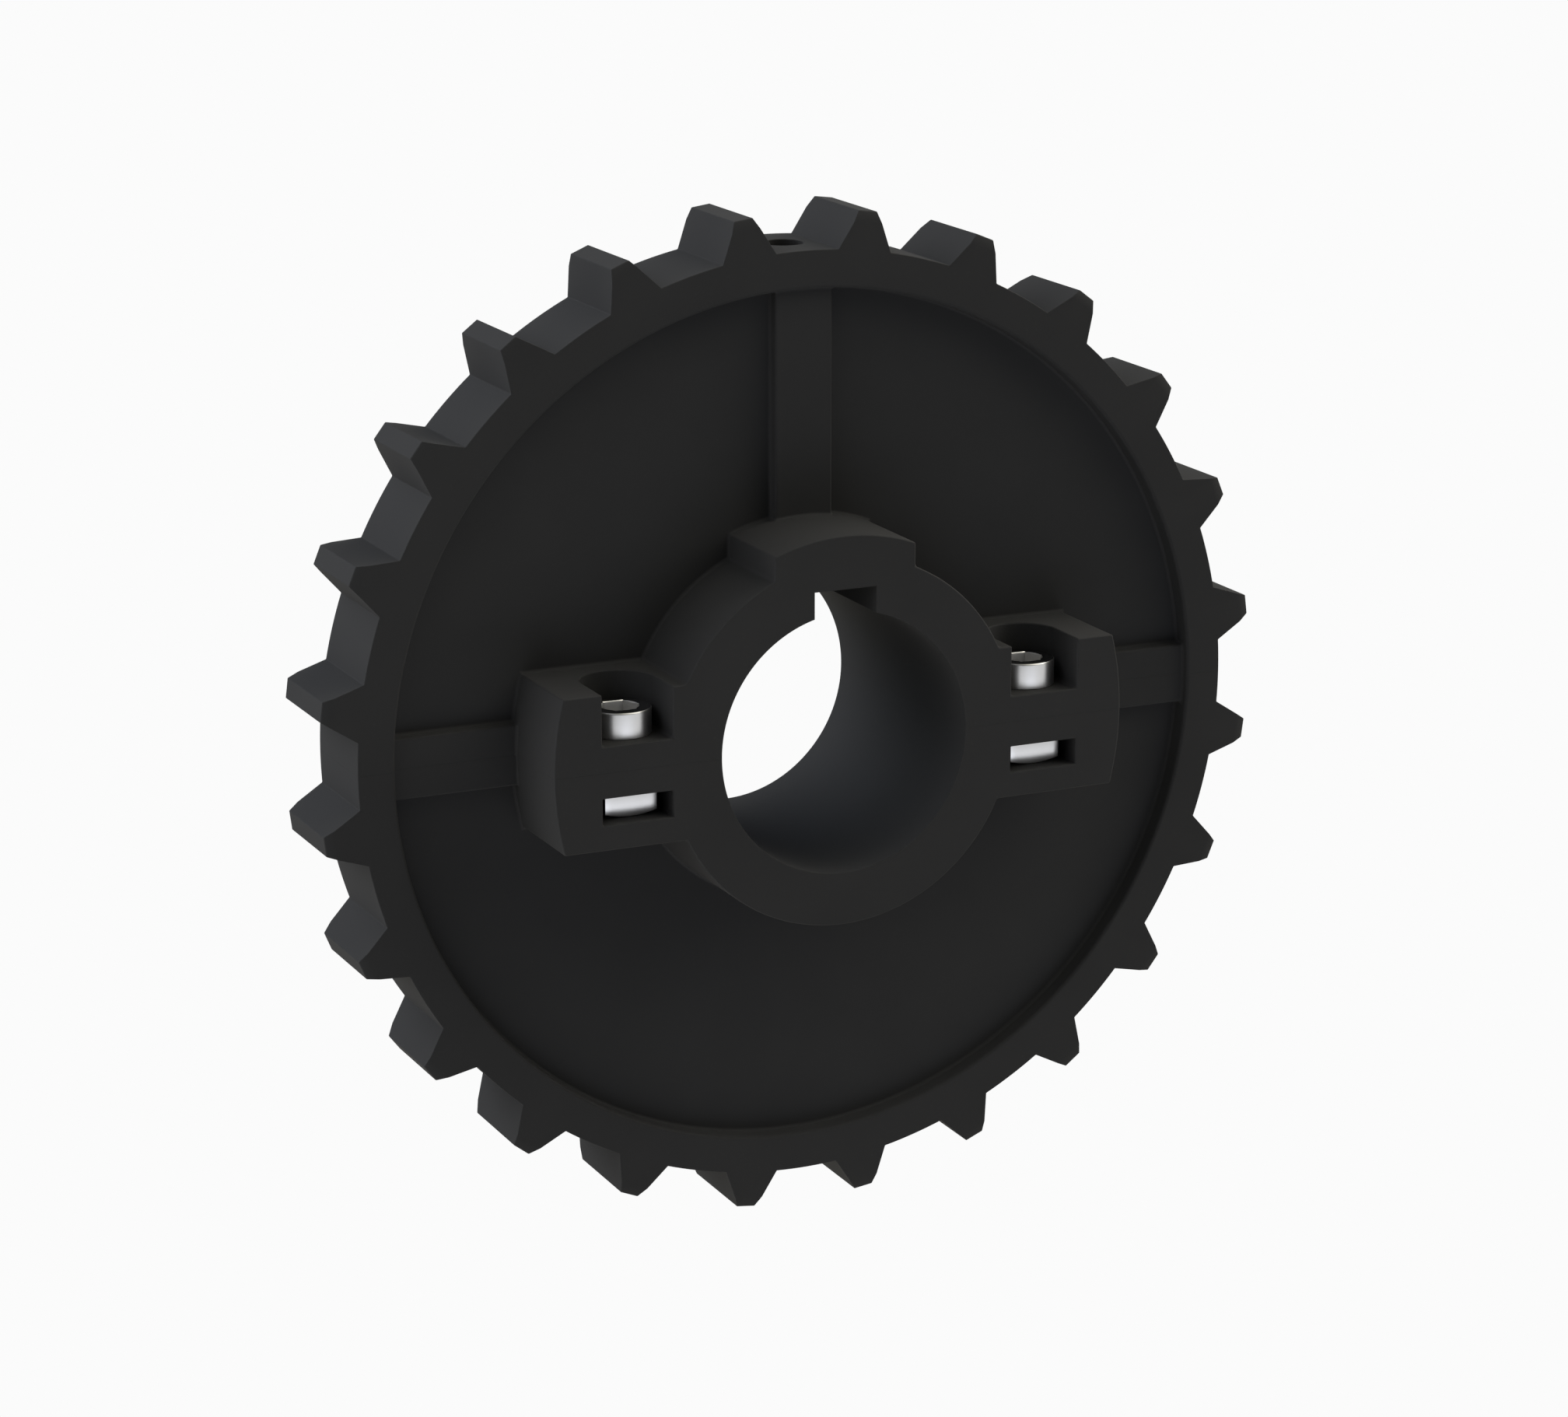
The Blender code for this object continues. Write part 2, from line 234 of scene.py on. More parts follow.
# %% [markdown]
# ## Mesh helpers
# Cleaning is the same for every piece: points that meet become one, all faces look outwards, and the
# count of open edges is printed, because a Boolean on an open mesh fails without a word.


# %% Mesh helpers
def cleaned(mesh):
    """Welds a mesh, turns its faces outwards and counts its open edges."""
    work = bmesh.new()
    work.from_mesh(mesh)
    bmesh.ops.remove_doubles(work, verts=work.verts, dist=WELD_DISTANCE)
    bmesh.ops.dissolve_degenerate(work, dist=WELD_DISTANCE, edges=work.edges)
    bmesh.ops.recalc_face_normals(work, faces=work.faces)
    open_edges = sum(len(edge.link_faces) != 2 for edge in work.edges)
    work.to_mesh(mesh)
    work.free()
    print(f"{mesh.name}: {len(mesh.polygons)} faces, {open_edges} open edges")
    return mesh


def mesh_object(name, mesh):
    obj = bpy.data.objects.new(name, mesh)
    bpy.context.scene.collection.objects.link(obj)
    return obj


def baked(obj):
    """The object's evaluated mesh, with the object itself removed."""
    bpy.context.view_layer.update()
    mesh = bpy.data.meshes.new_from_object(obj.evaluated_get(bpy.context.evaluated_depsgraph_get()))
    bpy.data.objects.remove(obj, do_unlink=True)
    return mesh


def combined(name, mesh, others, operation):
    """A mesh joined to, cut by or kept inside each of the others in turn."""
    obj = mesh_object(name, mesh)
    helpers = [mesh_object(name + "_with", other) for other in others]
    for helper in helpers:
        modifier = obj.modifiers.new("Combine", "BOOLEAN")
        modifier.operation = operation
        modifier.solver = "EXACT"
        modifier.object = helper
    result = baked(obj)
    for helper in helpers:
        bpy.data.objects.remove(helper, do_unlink=True)
    result.name = name
    return cleaned(result)


def prism(solids):
    """One mesh of several straight solids: each is an outline of 3-D points and the way it is pushed."""
    work = bmesh.new()
    for outline, push in solids:
        face = work.faces.new([work.verts.new(point) for point in outline])
        grown = bmesh.ops.extrude_face_region(work, geom=[face])
        moved = [item for item in grown["geom"] if isinstance(item, bmesh.types.BMVert)]
        bmesh.ops.translate(work, vec=Vector(push), verts=moved)
    bmesh.ops.recalc_face_normals(work, faces=work.faces)
    mesh = bpy.data.meshes.new("prism")
    work.to_mesh(mesh)
    work.free()
    return mesh


def along_shaft(outline, thickness):
    """An outline in X and Z, centred on the shaft's middle and pushed along the shaft."""
    return [(x, -thickness / 2, z) for x, z in outline], (0, thickness, 0)


def upright(outline, low, high):
    """An outline in X and Y, pushed up from one height to another."""
    return [(x, y, low) for x, y in outline], (0, 0, high - low)


def rectangle(x0, y0, x1, y1):
    return [(x0, y0), (x1, y0), (x1, y1), (x0, y1)]


def arc(radius, start, end, steps, centre=(0.0, 0.0)):
    """Points on a circle, from one angle to another in degrees, both ends included."""
    angles = [math.radians(start + (end - start) * i / steps) for i in range(steps + 1)]
    return [(centre[0] + radius * math.cos(a), centre[1] + radius * math.sin(a)) for a in angles]


def circle(radius, steps, centre=(0.0, 0.0)):
    return arc(radius, 0, 360, steps, centre)[:-1]


# %% [markdown]
# ## Black nylon
# The halves are glass-filled nylon: almost black, satin, with the fine grain of an eroded mould. Up close
# it isn't even. The fibres leave short paler flecks, the flow of the melt leaves soft clouds, and the bore,
# which is machined after moulding, keeps faint turning lines. All of it is noise on Object coordinates, in
# metres, so that each scale below is the size of a real feature.


# %% Finish of the moulding
def new_material(name):
    material = bpy.data.materials.new(name)
    material.use_nodes = True
    tree = material.node_tree
    tree.nodes.clear()
    start = Flow(tree)
    place = start.add("ShaderNodeTexCoord", out="Object")
    return material, start, place


def finish_material(start, shader):
    start.add("ShaderNodeOutputMaterial", {}, {"Surface": shader})


def noise(place, size, detail=2.0, roughness=0.5):
    """Noise whose features are about this many metres across, from 0 to 1."""
    inputs = {"Vector": place, "Scale": 1 / size, "Detail": detail, "Roughness": roughness}
    return place.add("ShaderNodeTexNoise", {}, inputs, out="Fac")


def stretched(place, scale, centre=(0, 0, 0)):
    """Object coordinates measured from a centre and squeezed differently along each axis."""
    moved = place.add("ShaderNodeVectorMath", {"operation": "SUBTRACT"}, {0: place, 1: centre})
    return moved.add("ShaderNodeVectorMath", {"operation": "MULTIPLY"}, {0: moved, 1: scale})


def mixed(factor, first, second):
    """A colour between two colours."""
    inputs = {"Factor_Float": factor, "A_Color": (*first, 1.0), "B_Color": (*second, 1.0)}
    return factor.add("ShaderNodeMix", {"data_type": "RGBA"}, inputs, out="Result_Color")


def ramp(value, low, high):
    """0 below low, 1 above high, straight between."""
    inputs = {"Value": value, "From Min": low, "From Max": high}
    return value.add("ShaderNodeMapRange", {"clamp": True}, inputs)


def bumped(height, strength, distance):
    """The normal over a surface of this height, where 1 stands for a distance in metres."""
    inputs = {"Strength": strength, "Distance": distance, "Height": height}
    return height.add("ShaderNodeBump", {}, inputs)


NYLON_DARK = (0.0165, 0.0165, 0.0167)
NYLON_LIGHT = (0.0250, 0.0250, 0.0250)
NYLON_SPECULAR = 0.5
CLOUD_SIZE = 0.012
CLOUD_EDGES = (0.3, 0.7)
GRAIN_SIZE = 0.00022
GRAIN_HEIGHT = 0.000012
GRAIN_STRENGTH = 0.35
FIBRE_SIZE = 0.0005
FIBRE_SQUEEZE = (1, 3.5, 1)
FLECK_EDGES = (0.66, 0.78)
TURNING_PITCH = 0.00022
MACHINED_FROM = BORE_RADIUS + 0.00004
MACHINED_TO = BORE_RADIUS + 0.0002
# How much each pattern adds to the tone, to the roughness and to the height.
TONE = {"clouds": 0.55, "grain": 0.3, "flecks": 0.35}
ROUGH = {"base": 0.76, "clouds": 0.08, "grain": 0.10, "bore": -0.05}
HEIGHT = {"grain lost in bore": 0.8, "turning": 0.5}


def black_nylon():
    material, start, place = new_material("black_nylon")
    clouds = noise(place, CLOUD_SIZE, detail=3.0)
    grain = noise(place, GRAIN_SIZE, detail=3.0, roughness=0.6)
    fibres = noise(stretched(place, FIBRE_SQUEEZE), FIBRE_SIZE, detail=1.0)
    flecks = ramp(fibres, *FLECK_EDGES)

    x, _, z = split_xyz(place)
    from_axis = (x * x + z * z).apply("SQRT")
    in_bore = 1 - ramp(from_axis, MACHINED_FROM, MACHINED_TO)
    turning = noise(stretched(place, (0, 1, 0)), TURNING_PITCH, detail=2.0)

    cloud_tone = ramp(clouds, *CLOUD_EDGES) * TONE["clouds"]
    tone = cloud_tone + grain * TONE["grain"] + flecks * TONE["flecks"]
    colour = mixed(tone, NYLON_DARK, NYLON_LIGHT)
    roughness = ROUGH["base"] + clouds * ROUGH["clouds"] + grain * ROUGH["grain"] + in_bore * ROUGH["bore"]
    grain_left = 1 - in_bore * HEIGHT["grain lost in bore"]
    height = grain * grain_left + turning * in_bore * HEIGHT["turning"]
    bump = bumped(height, GRAIN_STRENGTH, GRAIN_HEIGHT)
    shader = start.add(
        "ShaderNodeBsdfPrincipled",
        {},
        {
            "Base Color": colour,
            "Roughness": roughness,
            "Specular IOR Level": NYLON_SPECULAR,
            "Normal": bump,
        },
    )
    finish_material(start, shader)
    return material


nylon = black_nylon()
print("nylon nodes:", len(nylon.node_tree.nodes))

# %% [markdown]
# ## The toothed rim
# Every tooth is the same four-sided hump, so the rim is a rule: 24 teeth, each given by thirteen stations
# round the wheel. It could be one tooth copied round in a circle, but then 24 copies would have to be
# welded. Here one grid is rolled into a ring instead. Along the grid run the stations, and across it run
# the seven corners of the rim's cross-section, the last one on top of the first. The tree looks up each
# station's angle and radius, and moves every point of the grid to its place. The inner corners are spaced
# evenly instead, so that none lies close to the corner of a rib, where a rounded edge would fold over.

# %% Stations of one tooth
GAP_STATIONS = 7
STATIONS = 6 + GAP_STATIONS
INNER_AHEAD = 4
CORNERS = 7
MIDDLE_RADIUS = 0.0655
RIM_SIZES = {
    "Teeth": TEETH,
    "Root radius": ROOT_RADIUS,
    "Kink radius": KINK_RADIUS,
    "Tip radius": TIP_RADIUS,
    "Inner radius": RIM_INNER_RADIUS,
    "Middle radius": MIDDLE_RADIUS,
    "Chord radius": KINK_RADIUS
    * math.cos(math.radians(KINK_HALF_ANGLE))
    / math.cos(math.radians(TIP_HALF_ANGLE)),
    "Root half angle": math.radians(ROOT_HALF_ANGLE),
    "Kink half angle": math.radians(KINK_HALF_ANGLE),
    "Tip half angle": math.radians(TIP_HALF_ANGLE),
    "Half width": RIM_WIDTH / 2,
    "Tip set-back": TIP_SET_BACK,
}


def pick(index, choices, kind="FLOAT"):
    """The choice whose number is index: an Index Switch node."""
    tree = index.tree
    node = tree.nodes.new("GeometryNodeIndexSwitch")
    node.data_type = kind
    while len(node.index_switch_items) < len(choices):
        node.index_switch_items.new()
    tree.links.new(index.socket, node.inputs[0])
    for socket, choice in zip(node.inputs[1:], choices):
        if isinstance(choice, Flow):
            tree.links.new(choice.socket, socket)
        else:
            socket.default_value = choice
    return Flow(tree, node.outputs[0])


def toothed_rim_tree(material):
    tree, size = new_tree("toothed_rim", RIM_SIZES)
    start = Flow(tree)
    columns = size["Teeth"] * STATIONS + 1
    grid = start.add("GeometryNodeMeshGrid", {}, {"Vertices X": columns, "Vertices Y": CORNERS})
    index = start.add("GeometryNodeInputIndex")
    station = (index / CORNERS).apply("FLOOR")
    corner = index - station * CORNERS
    tooth = (station / STATIONS).apply("FLOOR")
    step = station - tooth * STATIONS

    pitch = 2 * math.pi / size["Teeth"]
    gap_step = (pitch - 2 * size["Root half angle"]) / (GAP_STATIONS + 1)
    roots, kinks, tips = size["Root half angle"], size["Kink half angle"], size["Tip half angle"]
    offsets = [roots * -1, kinks * -1, tips * -1, tips, kinks, roots]
    offsets += [roots + gap_step * (i + 1) for i in range(GAP_STATIONS)]
    offset = pick(step, offsets)

    root, kink, tip = size["Root radius"], size["Kink radius"], size["Tip radius"]
    gap = [root] * GAP_STATIONS
    outer = pick(step, [root, kink, tip, tip, kink, root] + gap)
    plain = [size["Middle radius"]]
    chord = [size["Chord radius"]]
    middle = pick(step, plain + [kink] + chord * 2 + [kink] + plain * (1 + GAP_STATIONS))
    set_back = pick(step, [0, 0, size["Tip set-back"], size["Tip set-back"], 0, 0] + [0] * GAP_STATIONS)

    inner = size["Inner radius"]
    radius = pick(corner, [inner, middle, outer, outer, middle, inner, inner])
    half = size["Half width"]
    tip_half = half - set_back
    across = pick(corner, [half * -1, half * -1, tip_half * -1, tip_half, half, half, half * -1])

    outside = pitch * (tooth + 0.5) + offset
    evenly = pitch * (tooth + (step + INNER_AHEAD) / STATIONS)
    angle = pick(corner, [evenly] + [outside] * 4 + [evenly] * 2)
    place = start.add(
        "ShaderNodeCombineXYZ",
        {},
        {
            "X": radius * angle.apply("COSINE"),
            "Y": across,
            "Z": radius * angle.apply("SINE"),
        },
    )
    rolled = start.add("GeometryNodeSetPosition", {}, {"Geometry": grid, "Position": place})
    welded = rolled.add("GeometryNodeMergeByDistance", {}, {"Geometry": rolled, "Distance": WELD_DISTANCE})
    close_tree(tree, welded, material)
    return tree


rim_mesh = cleaned(bake_tree("toothed_rim", toothed_rim_tree(nylon), RIM_SIZES))

# %% [markdown]
# ## The wheel before it is split
# The web, the three ribs and the hub are joined to the rim while the wheel is still whole, as the mould
# designer does, so that the two halves match at the split without any care. The hub's outline has an ear
# on each side for the screws and a boss on top over the keyway. The ears narrow a hair outwards, which is
# the draft that lets the moulding out of its mould.


# %% Hub outline
SHORT_ARC_STEPS = 18
LONG_ARC_STEPS = 60
BORE_STEPS = 200
WEB_STEPS = 240


def angle_at(radius, height):
    """The angle from +X, in degrees, of the point of a circle at this height."""
    return math.degrees(math.asin(height / radius))


def angle_across(radius, across):
    """The angle from +X, in degrees, of the point of a circle this far to the right."""
    return math.degrees(math.acos(across / radius))


def hub_outline():
    """The hub's outline. Its steps leave no point within half a millimetre of a rib's corner."""
    ear = EAR_HEIGHT / 2
    ear_end = angle_at(EAR_RADIUS, ear - EAR_DRAFT)
    ear_root = angle_at(HUB_RADIUS, ear)
    boss_root = angle_across(HUB_RADIUS, BOSS_WIDTH / 2)
    boss_top = angle_across(BOSS_RADIUS, BOSS_WIDTH / 2)
    return (
        arc(EAR_RADIUS, -ear_end, ear_end, SHORT_ARC_STEPS)
        + arc(HUB_RADIUS, ear_root, boss_root, SHORT_ARC_STEPS)
        + arc(BOSS_RADIUS, boss_top, 180 - boss_top, SHORT_ARC_STEPS)
        + arc(HUB_RADIUS, 180 - boss_root, 180 - ear_root, SHORT_ARC_STEPS)
        + arc(EAR_RADIUS, 180 - ear_end, 180 + ear_end, SHORT_ARC_STEPS)
        + arc(HUB_RADIUS, 180 + ear_root, 360 - ear_root, LONG_ARC_STEPS)
    )


def bore_outline():
    """The bore and its keyway in one outline."""
    corner = angle_across(BORE_RADIUS, KEYWAY_WIDTH / 2)
    half = KEYWAY_WIDTH / 2
    around = arc(BORE_RADIUS, 180 - corner, 360 + corner, BORE_STEPS)
    return around + [(half, KEYWAY_TOP), (-half, KEYWAY_TOP)]


# %% Join the rim, web, ribs and hub
buried = RIM_INNER_RADIUS + OVERLAP
inside_hub = (BORE_RADIUS + HUB_RADIUS) / 2
half_rib = RIB_WIDTH / 2
ribs = [
    rectangle(inside_hub, -half_rib, buried, half_rib),
    rectangle(-buried, -half_rib, -inside_hub, half_rib),
    rectangle(-half_rib, inside_hub, half_rib, buried),
]
wheel = combined(
    "wheel",
    rim_mesh,
    [
        prism([along_shaft(circle(buried, WEB_STEPS), WEB_THICKNESS)]),
        prism([along_shaft(rib, RIB_THICKNESS) for rib in ribs]),
        prism([along_shaft(hub_outline(), HUB_LENGTH)]),
    ],
    "UNION",
)

# %% [markdown]
# ## Bore, pockets, slots and holes
# Each screw head stands in a slot that is open to the hub's face and round at the back. Its square nut
# sits in a narrower slot below the split, whose walls keep it from turning. Straight cutters do all of
# this. Cutters that don't touch each other share one mesh, which saves a Boolean for each. They cut the
# halves, not the whole wheel: there the dowels' holes would be closed bubbles, and the bore would be a hole
# in the hub's end face, which a Boolean can only keep by splitting the face along a line.


# %% Cutters
SEAT_SHIFT = 0.0004
NUT_CLEARANCE = 0.0003
POCKET_STEPS = 32
HOLE_STEPS = 48


def screw_place(side, end):
    """The axis of a screw in plan, from its CAD node."""
    low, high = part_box(f"cap_screw_{end}_{side}")
    middle = (low + high) / 2
    return middle.x, middle.y


def pocket_outline(side, end):
    x, y = screw_place(side, end)
    half = POCKET_WIDTH / 2
    out = ENDS[end]
    mouth = out * (HUB_LENGTH / 2 + BEYOND)
    seat_y = y - out * SEAT_SHIFT
    back = [(px, seat_y - out * (py - seat_y)) for px, py in arc(half, 0, 180, POCKET_STEPS, (x, seat_y))]
    return [(x + half, mouth)] + back + [(x - half, mouth)]


def nut_slot(side, end):
    x, y = screw_place(side, end)
    half = POCKET_WIDTH / 2
    low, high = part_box(f"square_nut_{end}_{side}")
    out = ENDS[end]
    back = (high.y + NUT_CLEARANCE) if out < 0 else (low.y - NUT_CLEARANCE)
    mouth = out * (HUB_LENGTH / 2 + BEYOND)
    return rectangle(x - half, min(back, mouth), x + half, max(back, mouth))


places = [(side, end) for side in SIDES for end in ENDS]
tall = EAR_HEIGHT + BEYOND
seats = [upright(pocket_outline(side, end), SEAT_Z, tall) for side, end in places]
slots = [upright(nut_slot(side, end), SLOT_FLOOR_Z, SLOT_TOP_Z) for side, end in places]
screw_holes = [
    upright(circle(HOLE_RADIUS, HOLE_STEPS, screw_place(side, end)), -EAR_HEIGHT, EAR_HEIGHT)
    for side, end in places
]
dowel_x = abs(screw_place("right", "front")[0])
dowel_holes = [
    upright(circle(HOLE_RADIUS, HOLE_STEPS, (sign * dowel_x, 0)), -DOWEL_HOLE_DEPTH, DOWEL_HOLE_DEPTH)
    for sign in SIDES.values()
]
drill = [upright(circle(HOLE_RADIUS, HOLE_STEPS), BORE_RADIUS, TIP_RADIUS)]
bore = [along_shaft(bore_outline(), HUB_LENGTH + BEYOND)]
cutters = [prism(bore + seats + slots), prism(screw_holes + dowel_holes + drill)]

# %% [markdown]
# ## Two halves with rounded edges
# A moulding has no sharp edge. Here each edge gets a bevel weight by where it is: the mould's parting edges
# and the tooth corners are nearly sharp, the rim's inner edge is soft, and the inner corners have fillets
# that help the melt to flow. The Bevel modifier then rounds them all at once. Flat faces stay whole for it:
# cut into triangles, a thin one could fold over beside a fillet. The split faces stay sharp, so that the
# closed joint is a hairline. Weighted normals keep the flats flat beside the rounded edges.

# %% Edge radii
# The width of each kind of rounded edge, in metres.
ROUND = {
    "web fillet": 0.0005,
    "rim inner": 0.0005,
    "hub corner": 0.00044,
    "seat corner": 0.0005,
    "slot corner": 0.00024,
    "rib": 0.0003,
    "hub": 0.00024,
    "tooth": 0.00013,
    "bore": 0.00006,
}
LARGEST_ROUND = max(ROUND.values())
ROUND_SEGMENTS = 3
SHARP_ANGLE = math.radians(20)
NEAR = 0.0002


def is_split_edge(edge):
    return all(abs(vert.co.z) < SPLIT_GAP for vert in edge.verts)


def rounding_of(edge):
    """The name of the radius that this edge gets, from its place and from whether it is a corner."""
    if len(edge.link_faces) != 2 or is_split_edge(edge):
        return None
    fold = edge.calc_face_angle_signed(0.0)
    if abs(fold) < SHARP_ANGLE:
        return None
    points = [vert.co for vert in edge.verts]
    radii = [math.hypot(point.x, point.z) for point in points]
    height = abs(points[0].z)
    from_axis = sum(radii) / 2
    if from_axis > (RIM_INNER_RADIUS + ROOT_RADIUS) / 2:
        return "tooth"
    if fold < 0:
        if abs(height - DOWEL_HOLE_DEPTH) < NEAR:
            return None
        if all(abs(abs(point.y) - WEB_THICKNESS / 2) < NEAR for point in points):
            return "web fillet"
        if from_axis < HUB_RADIUS - NEAR:
            return "bore"
        if from_axis > EAR_RADIUS or height > EAR_HEIGHT / 2 - NEAR:
            return "hub corner"
        return "seat corner" if points[0].z > 0 else "slot corner"
    if min(radii) > RIM_INNER_RADIUS - NEAR:
        return "rim inner"
    if from_axis > EAR_RADIUS + NEAR:
        return "rib"
    return "bore" if from_axis < KEYWAY_TOP + OVERLAP else "hub"


reach = TIP_RADIUS + BEYOND


def half_of(name, whole, low, high):
    """The part of the wheel between two heights, cut and with its edges rounded, as a plain mesh."""
    keep = prism([upright(rectangle(-reach, -reach, reach, reach), low, high)])
    mesh = combined(name, whole.copy(), [keep], "INTERSECT")
    mesh = combined(name, mesh, cutters, "DIFFERENCE")
    work = bmesh.new()
    work.from_mesh(mesh)
    weights = work.edges.layers.float.new("bevel_weight_edge")
    counts = {}
    for edge in work.edges:
        kind = rounding_of(edge)
        edge[weights] = ROUND.get(kind, 0.0) / LARGEST_ROUND
        counts[kind] = counts.get(kind, 0) + 1
    work.to_mesh(mesh)
    work.free()
    print(name, "edges by kind:", counts)
    obj = mesh_object(name, mesh)
    bevel = obj.modifiers.new("Rounded edges", "BEVEL")
    bevel.limit_method = "WEIGHT"
    bevel.offset_type = "OFFSET"
    bevel.width = LARGEST_ROUND
    bevel.segments = ROUND_SEGMENTS
    bevel.use_clamp_overlap = False
    bevel.miter_outer = "MITER_SHARP"
    result = baked(obj)
    result.name = name
    return result


NYLON_SHARP = 35
STEEL_SHARP = 28
FLATS_WEIGHT = 100
fasteners = []


def finished(name, mesh, material, body, slot, sharp=STEEL_SHARP, weighted=False):
    """The shown piece: smooth shading with sharp corners, one material, riding on its CAD body."""
    mesh.materials.clear()
    mesh.materials.append(material)
    mesh.polygons.foreach_set("material_index", [0] * len(mesh.polygons))
    mesh.shade_smooth()
    mesh.set_sharp_from_angle(angle=math.radians(sharp))
    obj = mesh_object(name, mesh)
    if weighted:
        normals = obj.modifiers.new("Flats stay flat", "WEIGHTED_NORMAL")
        normals.keep_sharp = True
        normals.weight = FLATS_WEIGHT
        obj = mesh_object(name, baked(obj))
        obj.name = name
    mesh.name = name + "_mesh"
    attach(obj, body)
    if slot == "steel":
        fasteners.append(obj)
    print(name, "has", len(obj.data.polygons), "faces and rides on", body)
    return obj


for body, low, high in (("upper_half", SPLIT_GAP / 2, reach), ("lower_half", -reach, -SPLIT_GAP / 2)):
    mesh = half_of(body, wheel, low, high)
    half = finished(body + "_moulding", mesh, nylon, body, "black_plastic", NYLON_SHARP, weighted=True)
    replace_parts(half, body)

# %% [markdown]
# ## Stainless steel
# The screws, nuts and dowels are plain stainless steel. Turning leaves fine rings on a head's top and fine
# lines round its side, and the socket is pressed, so its walls are rougher. The rings follow the distance
# from the screw's own axis and the lines follow the height, so each screw has its own centre. The lines
# change the roughness and a shallow bump, and the colour only a little: metal shows by what it mirrors.

# %% Finish of the fasteners
STEEL_DARK = (0.56, 0.56, 0.56)
STEEL_LIGHT = (0.70, 0.70, 0.70)
STEEL_ROUGH = 0.20
LINE_SIZE = 0.00009
LINE_HEIGHT = 0.000004
LINE_STRENGTH = 0.5
LINES_ROUGH = 0.10
LINES_TONE = 0.4
SMEAR_SIZE = 0.0018
SMEARS_ROUGH = 0.06
SMEARS_TONE = 0.6
PRESSED_GRAIN_SIZE = 0.00006
PRESSED_GRAIN_HEIGHT = 3.0
PRESSED_ROUGH = 0.10
GRAIN_ROUGH = 0.15
FACING_DEPTH = 0.00005
FACED_SMOOTHER = 0.75
FACED_FLATTER = 0.9
SOCKET_EDGE = 0.93
SOCKET_MARGIN = 1.15
NO_SOCKET = 0.00001
NOT_FACED = 1.0


def steel(name, centre, rough=STEEL_ROUGH, socket=NO_SOCKET, faced_at=NOT_FACED):
    """Turned steel round an upright axis through centre. It is rougher inside the radius of a socket,
    and smoother above the height at which it is faced off."""
    material, start, place = new_material(name)
    here = stretched(place, (1, 1, 1), (centre[0], centre[1], 0))
    x, y, z = split_xyz(here)
    from_axis = (x * x + y * y).apply("SQRT")
    steps = here.add("ShaderNodeCombineXYZ", {}, {"X": from_axis, "Y": z})
    lines = noise(steps, LINE_SIZE, detail=3.0, roughness=0.7)
    grain = noise(here, PRESSED_GRAIN_SIZE, detail=2.0)
    smears = noise(here, SMEAR_SIZE, detail=2.0)
    pressed = 1 - ramp(from_axis, socket * SOCKET_EDGE, socket)
    colour = mixed(smears * SMEARS_TONE + lines * LINES_TONE, STEEL_DARK, STEEL_LIGHT)
    faced = ramp(z, faced_at - FACING_DEPTH, faced_at - FACING_DEPTH / 2) * (1 - pressed)
    turned = rough + lines * LINES_ROUGH + smears * SMEARS_ROUGH
    roughness = turned * (1 - faced * FACED_SMOOTHER) + pressed * (PRESSED_ROUGH + grain * GRAIN_ROUGH)
    turned_height = lines * (1 - pressed) * (1 - faced * FACED_FLATTER)
    height = turned_height + grain * pressed * PRESSED_GRAIN_HEIGHT
    bump = bumped(height, LINE_STRENGTH, LINE_HEIGHT)
    shader = start.add(
        "ShaderNodeBsdfPrincipled",
        {},
        {"Base Color": colour, "Metallic": 1.0, "Roughness": roughness, "Normal": bump},
    )
    finish_material(start, shader)
    return material


# %% [markdown]
# ## Threads
# A thread is a rule too: the radius at each point depends only on how far its height, less its share of a
# turn, has gone through one pitch. A ridge could be swept along a spiral, but it would cross the shank's
# surface. Here a grid is rolled into a sleeve as the rim was, and the rule pushes its points out. The
# ridge fades out over the run-out at both ends, so that the ends are plain circles that the rest of the
# screw is welded to.

# %% Thread tree
AROUND = 48
ROWS_PER_PITCH = 8
FLANK_FROM = 0.15
FLANK_TO = 0.85
THREAD_INPUTS = ("Low", "High", "Rows", "Core radius", "Crest radius", "Pitch", "Run-out")


def thread_tree(material):
    tree, size = new_tree("thread_sleeve", THREAD_INPUTS)
    start = Flow(tree)
    per_column = size["Rows"] + 1
    grid = start.add("GeometryNodeMeshGrid", {}, {"Vertices X": AROUND + 1, "Vertices Y": per_column})
    index = start.add("GeometryNodeInputIndex")
    column = (index / per_column).apply("FLOOR")
    row = index - column * per_column
    turn = column / AROUND
    height = size["Low"] + (size["High"] - size["Low"]) * row / size["Rows"]
    phase = (height / size["Pitch"] - turn).apply("FRACT")
    ridge = (phase * 2 - 1).apply("ABSOLUTE")
    crest = ramp(ridge, FLANK_FROM, FLANK_TO)
    nearest = (height - size["Low"]).apply("MINIMUM", size["High"] - height)
    fade = ramp(nearest / size["Run-out"], 0.0, 1.0)
    radius = size["Core radius"] + (size["Crest radius"] - size["Core radius"]) * crest * fade
    angle = turn * (2 * math.pi)
    place = start.add(
        "ShaderNodeCombineXYZ",
        {},
        {
            "X": radius * angle.apply("COSINE"),
            "Y": radius * angle.apply("SINE"),
            "Z": height,
        },
    )
    rolled = start.add("GeometryNodeSetPosition", {}, {"Geometry": grid, "Position": place})
    welded = rolled.add("GeometryNodeMergeByDistance", {}, {"Geometry": rolled, "Distance": WELD_DISTANCE})
    close_tree(tree, welded, material)
    return tree


plain_steel = steel("plain_steel", (0, 0))
sleeve_tree = thread_tree(plain_steel)


